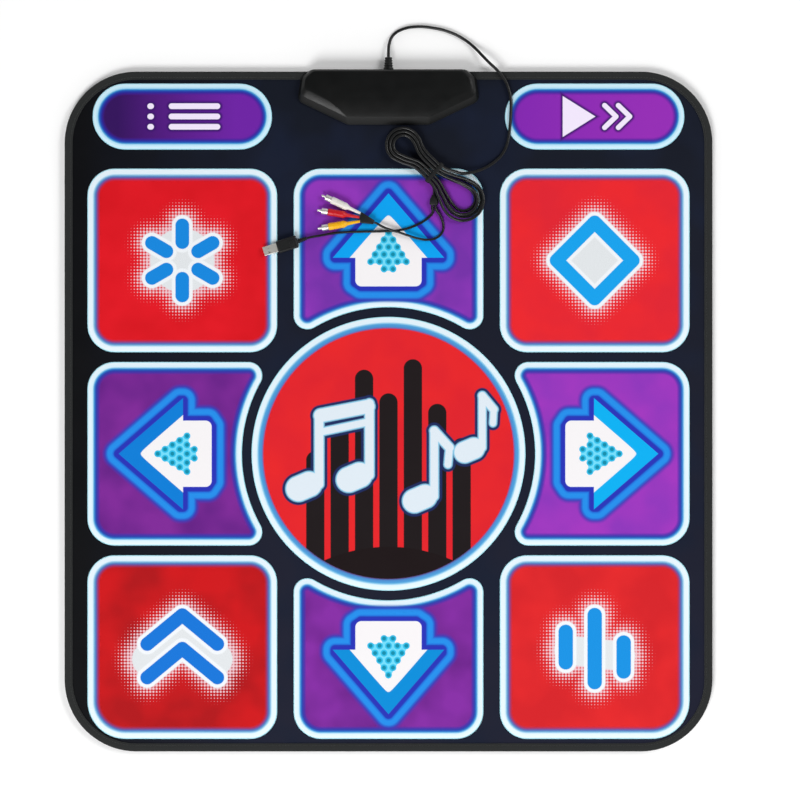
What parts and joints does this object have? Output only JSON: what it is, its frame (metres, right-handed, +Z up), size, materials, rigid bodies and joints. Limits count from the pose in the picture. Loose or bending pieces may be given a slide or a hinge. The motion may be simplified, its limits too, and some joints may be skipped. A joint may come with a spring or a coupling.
{
  "type": "dance mat controller",
  "caption": "Soft floor mat with arrow and corner foot switches, two capsule switches, a control box on the rear edge and a tied cable with USB and phono plugs.",
  "frame": {"origin": "on the floor under the middle of the mat", "axes": "+Z up, +Y towards the rear edge with the control box, +X to the player's right"},
  "size_m": [0.85, 0.9535, 0.022],
  "materials": {
    "cover": "printed PVC, semi-gloss",
    "purple": "printed PVC, semi-gloss",
    "red": "printed PVC, semi-gloss",
    "binding": "woven tape, matt",
    "base": "non-slip, matt",
    "foam": "closed-cell foam, matt",
    "film": "polyester film, semi-gloss",
    "box": "moulded ABS, satin",
    "board": "solder mask",
    "epoxy": "epoxy blob",
    "tin": "tinned",
    "sleeve": "shrink sleeve",
    "header": "natural nylon",
    "steel": "zinc-plated",
    "cord": "PVC jacket, satin",
    "plug": "moulded PVC, satin",
    "nickel": "nickel plate",
    "white": "moulded PVC, satin",
    "yellow": "moulded PVC, satin"
  },
  "bodies": {
    "mat": {"non_slip_base": "base", "lower_circuit_film": "film", "foam_spacer": "foam", "upper_circuit_film": "film", "top_cover": "cover", "home_disc": "red", "edge_binding": "binding", "box_upper_shell": "box", "box_lower_shell": "box", "circuit_board": "board", "controller_chip": "epoxy", "crystal_can": "tin", "capacitor": "sleeve", "clamp_bar": "box", "clamp_screw_left": "steel", "clamp_screw_right": "steel", "loom_connector": "header", "inner_loom": "cord", "box_screw_1": "steel", "box_screw_2": "steel", "box_screw_3": "steel", "box_screw_4": "steel", "cable_gland": "plug", "cable_lead": "cord", "cable_hank": "cord", "cable_tie": "plug", "y_splitter": "plug", "usb_lead": "cord", "usb_boot": "plug", "usb_body": "plug", "usb_shell": "nickel", "usb_tongue": "header", "av_lead": "cord", "av_junction": "plug", "rca_body_white": "white", "rca_shell_white": "nickel", "rca_pin_white": "nickel", "rca_body_red": "red", "rca_shell_red": "nickel", "rca_pin_red": "nickel", "rca_body_yellow": "yellow", "rca_shell_yellow": "nickel", "rca_pin_yellow": "nickel"},
    "pad_up": {"pad_up": "purple"},
    "pad_down": {"pad_down": "purple"},
    "pad_left": {"pad_left": "purple"},
    "pad_right": {"pad_right": "purple"},
    "pad_select": {"pad_select": "purple"},
    "pad_start": {"pad_start": "purple"},
    "pad_rear_left": {"pad_rear_left": "red"},
    "pad_rear_right": {"pad_rear_right": "red"},
    "pad_front_left": {"pad_front_left": "red"},
    "pad_front_right": {"pad_front_right": "red"}
  },
  "joints": [
    {"name": "pad_up_press", "type": "slide", "parent": "mat", "child": "pad_up", "axis": [0, 0, -1], "range_m": [0, 0.002], "stiffness_N_per_m": 20000, "deforming": ["foam_spacer", "upper_circuit_film"]},
    {"name": "pad_down_press", "type": "slide", "parent": "mat", "child": "pad_down", "axis": [0, 0, -1], "range_m": [0, 0.002], "stiffness_N_per_m": 20000, "deforming": ["foam_spacer", "upper_circuit_film"]},
    {"name": "pad_left_press", "type": "slide", "parent": "mat", "child": "pad_left", "axis": [0, 0, -1], "range_m": [0, 0.002], "stiffness_N_per_m": 20000, "deforming": ["foam_spacer", "upper_circuit_film"]},
    {"name": "pad_right_press", "type": "slide", "parent": "mat", "child": "pad_right", "axis": [0, 0, -1], "range_m": [0, 0.002], "stiffness_N_per_m": 20000, "deforming": ["foam_spacer", "upper_circuit_film"]},
    {"name": "pad_select_press", "type": "slide", "parent": "mat", "child": "pad_select", "axis": [0, 0, -1], "range_m": [0, 0.002], "stiffness_N_per_m": 20000, "deforming": ["foam_spacer", "upper_circuit_film"]},
    {"name": "pad_start_press", "type": "slide", "parent": "mat", "child": "pad_start", "axis": [0, 0, -1], "range_m": [0, 0.002], "stiffness_N_per_m": 20000, "deforming": ["foam_spacer", "upper_circuit_film"]},
    {"name": "pad_rear_left_press", "type": "slide", "parent": "mat", "child": "pad_rear_left", "axis": [0, 0, -1], "range_m": [0, 0.002], "stiffness_N_per_m": 20000, "deforming": ["foam_spacer", "upper_circuit_film"]},
    {"name": "pad_rear_right_press", "type": "slide", "parent": "mat", "child": "pad_rear_right", "axis": [0, 0, -1], "range_m": [0, 0.002], "stiffness_N_per_m": 20000, "deforming": ["foam_spacer", "upper_circuit_film"]},
    {"name": "pad_front_left_press", "type": "slide", "parent": "mat", "child": "pad_front_left", "axis": [0, 0, -1], "range_m": [0, 0.002], "stiffness_N_per_m": 20000, "deforming": ["foam_spacer", "upper_circuit_film"]},
    {"name": "pad_front_right_press", "type": "slide", "parent": "mat", "child": "pad_front_right", "axis": [0, 0, -1], "range_m": [0, 0.002], "stiffness_N_per_m": 20000, "deforming": ["foam_spacer", "upper_circuit_film"]}
  ]
}
